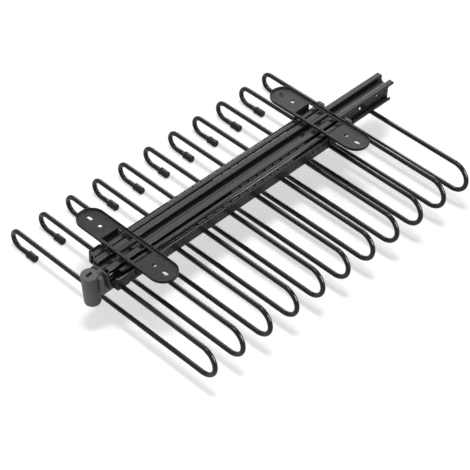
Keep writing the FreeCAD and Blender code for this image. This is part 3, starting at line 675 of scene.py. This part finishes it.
def noise(tree, scale, detail, stretch=(1, 1, 1)):
    """Noise in object space, with a scale per metre and an optional stretch."""
    place = tree.nodes.new("ShaderNodeTexCoord")
    mapping = tree.nodes.new("ShaderNodeMapping")
    mapping.inputs["Scale"].default_value = stretch
    texture = tree.nodes.new("ShaderNodeTexNoise")
    texture.inputs["Scale"].default_value = scale
    texture.inputs["Detail"].default_value = detail
    tree.links.new(place.outputs["Object"], mapping.inputs["Vector"])
    tree.links.new(mapping.outputs["Vector"], texture.inputs["Vector"])
    return texture


def tint(colour, gain):
    """A colour made lighter or darker."""
    return tuple(channel * gain for channel in colour)


def tone(tree, source, colour, dark, light):
    """Let a factor move a colour between a darker and a lighter one."""
    node = tree.nodes.new("ShaderNodeValToRGB")
    for stop, at, gain in zip(node.color_ramp.elements, TONE_STOPS, (dark, light)):
        stop.position = at
        stop.color = (*tint(colour, gain), 1)
    tree.links.new(source, node.inputs["Fac"])
    return node


def vary_roughness(tree, shader, source, roughness, spread):
    """Let a factor move the roughness down and up from its plain value."""
    less, more = spread
    node = tree.nodes.new("ShaderNodeMapRange")
    node.inputs["To Min"].default_value = roughness - less
    node.inputs["To Max"].default_value = roughness + more
    tree.links.new(source, node.inputs["Value"])
    tree.links.new(node.outputs["Result"], shader.inputs["Roughness"])


def add_bump(tree, shader, source, strength, depth):
    """Turn a factor into relief."""
    bump = tree.nodes.new("ShaderNodeBump")
    bump.inputs["Strength"].default_value = strength
    bump.inputs["Distance"].default_value = depth * MM
    tree.links.new(source, bump.inputs["Height"])
    tree.links.new(bump.outputs["Normal"], shader.inputs["Normal"])


def coated_metal(name, colour, roughness, grain, relief, specular, cloud_scale=60,
                 cloudy=0.1):
    """Painted or dipped steel: cloudy tone, fine orange peel, edges paler as wear and painted
    highlight.
    """
    material, tree, shader = new_material(name, roughness, specular=specular)
    cloud = noise(tree, cloud_scale, COAT_CLOUD_DETAIL)
    coat = tone(tree, cloud.outputs["Fac"], colour, 1 - cloudy, 1 + cloudy)
    # Paler edges: partly wear, partly a painted highlight in place of rounding the mesh lacks
    edge = tree.nodes.new("ShaderNodeBevel")
    edge.inputs["Radius"].default_value = WEAR_AND_HIGHLIGHT_RADIUS * MM
    straight = tree.nodes.new("ShaderNodeNewGeometry")
    angle = tree.nodes.new("ShaderNodeVectorMath")
    angle.operation = "DOT_PRODUCT"
    tree.links.new(edge.outputs["Normal"], angle.inputs[0])
    tree.links.new(straight.outputs["Normal"], angle.inputs[1])
    wear_and_highlight = tree.nodes.new("ShaderNodeMapRange")
    wear_and_highlight.inputs["From Min"].default_value = WEAR_AND_HIGHLIGHT_FROM
    wear_and_highlight.inputs["From Max"].default_value = WEAR_AND_HIGHLIGHT_TO
    tree.links.new(angle.outputs["Value"], wear_and_highlight.inputs["Value"])
    worn_and_highlit = tree.nodes.new("ShaderNodeMixRGB")
    worn_and_highlit.inputs["Color2"].default_value = (*tint(colour, WEAR_AND_HIGHLIGHT_GAIN), 1)
    tree.links.new(wear_and_highlight.outputs["Result"], worn_and_highlit.inputs["Fac"])
    tree.links.new(coat.outputs["Color"], worn_and_highlit.inputs["Color1"])
    tree.links.new(worn_and_highlit.outputs["Color"], shader.inputs["Base Color"])
    fine = noise(tree, grain, COAT_GRAIN_DETAIL)
    vary_roughness(tree, shader, fine.outputs["Fac"], roughness, COAT_SPREAD)
    add_bump(tree, shader, fine.outputs["Fac"], COAT_BUMP, relief)
    return material


def moulded_plastic(name, colour, roughness, grain, relief, specular):
    """Moulded plastic or rubber with a fine eroded surface."""
    material, tree, shader = new_material(name, roughness, specular=specular)
    cloud = noise(tree, *PLASTIC_CLOUD)
    skin = tone(tree, cloud.outputs["Fac"], colour, *PLASTIC_TONES)
    tree.links.new(skin.outputs["Color"], shader.inputs["Base Color"])
    fine = noise(tree, grain, PLASTIC_GRAIN_DETAIL)
    vary_roughness(tree, shader, fine.outputs["Fac"], roughness, PLASTIC_SPREAD)
    add_bump(tree, shader, fine.outputs["Fac"], PLASTIC_BUMP, relief)
    return material


def bare_metal(name, colour, roughness, stretch=(1, 1, 1)):
    """Plain steel, with lines where the noise is stretched along one direction."""
    material, tree, shader = new_material(name, roughness, metallic=1.0)
    lines = noise(tree, *STEEL_LINES, stretch)
    steel = tone(tree, lines.outputs["Fac"], colour, *STEEL_TONES)
    tree.links.new(steel.outputs["Color"], shader.inputs["Base Color"])
    vary_roughness(tree, shader, lines.outputs["Fac"], roughness, STEEL_SPREAD)
    add_bump(tree, shader, lines.outputs["Fac"], STEEL_BUMP, STEEL_RELIEF)
    return material


# Colour, roughness, grain per metre, relief and specular level of each slot
MATERIALS = {
    "coated_plate_steel": coated_metal("plate_coat", (0.012, 0.012, 0.0125), 0.42, 900, 0.14,
                                       0.08, cloud_scale=260, cloudy=0.7),
    "gloss_rail_steel": coated_metal("gloss_coat", (0.036, 0.036, 0.041), 0.22, 500, 0.006,
                                     0.1),
    "coated_rail_steel": coated_metal("rail_coat", (0.02, 0.02, 0.021), 0.17, 900, 0.008,
                                      0.12),
    "black_plastic": moulded_plastic("black_moulding", (0.005, 0.005, 0.006), 0.35, 1800,
                                     0.03, 0.2),
    "retainer_steel": bare_metal("retainer_metal", (0.04, 0.04, 0.04), 0.5,
                                 stretch=(1, 0.05, 1)),
    "ball_steel": bare_metal("ball_metal", (0.12, 0.12, 0.12), 0.25),
    "grey_moulding": moulded_plastic("grey_moulding", (0.125, 0.122, 0.125), 0.5, 1600, 0.04,
                                     0.1),
    "screw_steel": bare_metal("screw_metal", (0.45, 0.45, 0.45), 0.3),
    "coated_wire": coated_metal("wire_coat", (0.0125, 0.0125, 0.013), 0.18, 700, 0.002, 0.17),
    "cap_rubber": moulded_plastic("cap_moulding", (0.012, 0.012, 0.012), 0.5, 1500, 0.04,
                                  0.15),
}
DARK_BUFFER = moulded_plastic("buffer_moulding", (0.03, 0.03, 0.03), 0.5, 1600, 0.04, 0.15)
SLOT_OF = {s["node"]: s["material_slot"] for s in frame["record"]["subparts"]}


def paint(piece, slot):
    """Give an object one material."""
    piece.data.materials.clear()
    piece.data.materials.append(MATERIALS[slot])


# The rack ------------------------------------------------------------------------------

def build_wires():
    """Every hanger and its cap."""
    for number in range(1, HANGERS + 1):
        paint(wire(f"hanger_{number:02d}"), "coated_wire")
        paint(cap(f"hanger_cap_{number:02d}"), "cap_rubber")


def build_slides():
    """The rails, plates and mouldings; the pieces between the rails keep their CAD form."""
    made = {"mounting_plate": plate, "front_cap": front_cap,
            "carrier_rail": lambda node: carrier(), "grip": lambda node: grip(),
            "front_bracket": lambda node: bracket()}
    edges = {"outer_rail": None, "intermediate_rail": None, "rear_buffer": BUFFER_EDGE}
    for node, slot in SLOT_OF.items():
        if node.startswith("hanger"):
            continue
        maker = [make for ending, make in made.items() if node.endswith(ending)]
        edge = [edge for ending, edge in edges.items() if node.endswith(ending)]
        if maker:
            piece = maker[0](node)
        elif edge:
            piece = dressed(node, edge[0])
        else:
            paint(frame["nodes"][node], slot)
            continue
        paint(piece, slot)
        if node in SETBACKS:
            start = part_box(node)[0].y / MM
            cut(piece, [box(SETBACK_ACROSS, (start - SETBACK_PAST, start + SETBACKS[node]),
                            SETBACK_TALL)])
        if node == "right_outer_rail":
            cut(piece, [box(*SIDE_HOLE)])
        if node.endswith("rear_buffer"):
            piece.data.materials[0] = DARK_BUFFER


# Stage, light and camera ---------------------------------------------------------------

WORLD_LEVEL = 0.22
FLOOR_TONE, FLOOR_ROUGHNESS, FLOOR_LIFT = 0.7, 0.9, 0.56
FLOOR_GAP, FLOOR_HALF = 0.5, 4000
LAMP_TARGET = (0, 0, -0.05)
# Name, place, width, height and radiance of each softbox, and which rays see it: those of
# matt surfaces ("diffuse"), of glossy ones ("gloss") or both
SOFTBOXES = [
    ("overhead_softbox", (0.38, -0.42, 2.85), 0.55, 0.55, 46.0, "both"),
    ("rear_softbox", (-0.93, 0.9, 1.11), 1.5, 2.5, 4.0, "gloss"),
    ("high_softbox", (0.2, 1.17, 1.87), 1.0, 0.9, 6.5, "gloss"),
    ("front_softbox", (-0.7, -2.4, 0.45), 1.2, 1.2, 5.0, "diffuse"),
    ("side_softbox", (1.72, 0.57, 0.67), 0.7, 1.1, 50.0, "gloss"),
    ("low_softbox", (-0.95, 1.45, 0.45), 1.1, 0.5, 11.0, "gloss"),
]
CAMERA_PLACE, CAMERA_FORWARD = (0.9799, -1.0444, 1.2708), (-0.4917, 0.5326, -0.6889)
CAMERA_ROLL = 2.23
LENS, SENSOR_WIDTH, CLIP_START, CLIP_END = 128.05, 36, 0.05, 50


def seen_directly(tree):
    """One for camera, glossy and transmission rays, zero for the rays that carry light."""
    rays = tree.nodes.new("ShaderNodeLightPath")
    total = rays.outputs["Is Camera Ray"]
    for kind in ("Is Glossy Ray", "Is Transmission Ray"):
        add = tree.nodes.new("ShaderNodeMath")
        add.operation = "ADD"
        add.use_clamp = True
        tree.links.new(total, add.inputs[0])
        tree.links.new(rays.outputs[kind], add.inputs[1])
        total = add.outputs["Value"]
    return total


def show_white(tree, shader_output, lift):
    """Lift a stage surface towards white where the camera, gloss or glass sees it."""
    amount = tree.nodes.new("ShaderNodeMath")
    amount.operation = "MULTIPLY"
    amount.inputs[1].default_value = lift
    tree.links.new(seen_directly(tree), amount.inputs[0])
    glow = tree.nodes.new("ShaderNodeEmission")
    tree.links.new(amount.outputs["Value"], glow.inputs["Strength"])
    total = tree.nodes.new("ShaderNodeAddShader")
    tree.links.new(shader_output, total.inputs[0])
    tree.links.new(glow.outputs["Emission"], total.inputs[1])
    output = tree.nodes["Material Output"]
    tree.links.new(total.outputs["Shader"], output.inputs["Surface"])


def build_floor():
    """A plain pale floor under the lowest point of the rack."""
    level, half = cad_box[0].z / MM - FLOOR_GAP, FLOOR_HALF
    corners = [(-half, -half, level), (half, -half, level), (half, half, level),
               (-half, half, level)]
    mesh = bpy.data.meshes.new("floor")
    mesh.from_pydata([Vector(c) * MM for c in corners], [], [[0, 1, 2, 3]])
    floor = bpy.data.objects.new("floor", mesh)
    scene.collection.objects.link(floor)
    material, tree, shader = new_material("floor_paper", FLOOR_ROUGHNESS, specular=0.0)
    shader.inputs["Base Color"].default_value = (FLOOR_TONE, FLOOR_TONE, FLOOR_TONE, 1)
    show_white(tree, shader.outputs["BSDF"], FLOOR_LIFT)
    mesh.materials.append(material)


def add_softbox(name, place, width, height, radiance, seen_by):
    """A rectangular lamp that looks at the rack."""
    lamp = bpy.data.lights.new(name, "AREA")
    lamp.shape = "RECTANGLE"
    lamp.size = width
    lamp.size_y = height
    lamp.energy = radiance * math.pi * width * height
    holder = bpy.data.objects.new(name, lamp)
    scene.collection.objects.link(holder)
    holder.location = place
    holder.visible_diffuse = seen_by != "gloss"
    holder.visible_glossy = seen_by != "diffuse"
    direction = Vector(LAMP_TARGET) - Vector(place)
    holder.rotation_euler = direction.to_track_quat("-Z", "Y").to_euler()


def build_light():
    """An even white surround and the softboxes."""
    world = bpy.data.worlds.new("studio")
    scene.world = world
    world.use_nodes = True
    tree = world.node_tree
    strength = tree.nodes.new("ShaderNodeMapRange")
    strength.inputs["To Min"].default_value = WORLD_LEVEL
    strength.inputs["To Max"].default_value = 1.0
    tree.links.new(seen_directly(tree), strength.inputs["Value"])
    background = tree.nodes["Background"]
    background.inputs["Color"].default_value = (1, 1, 1, 1)
    tree.links.new(strength.outputs["Result"], background.inputs["Strength"])
    for softbox in SOFTBOXES:
        add_softbox(*softbox)


def build_camera():
    """The viewpoint: in front, to the right and well above, turned slightly about its axis."""
    data = bpy.data.cameras.new("camera")
    data.sensor_width = SENSOR_WIDTH
    data.lens = LENS
    data.clip_start = CLIP_START
    data.clip_end = CLIP_END
    camera = bpy.data.objects.new("camera", data)
    scene.collection.objects.link(camera)
    forward = Vector(CAMERA_FORWARD).normalized()
    turn = forward.to_track_quat("-Z", "Y").to_matrix().to_4x4()
    roll = Matrix.Rotation(math.radians(CAMERA_ROLL), 4, "Z")
    camera.matrix_world = Matrix.Translation(CAMERA_PLACE) @ turn @ roll
    scene.camera = camera


build_wires()
build_slides()
build_floor()
build_light()
build_camera()
scene.view_settings.view_transform = "Standard"
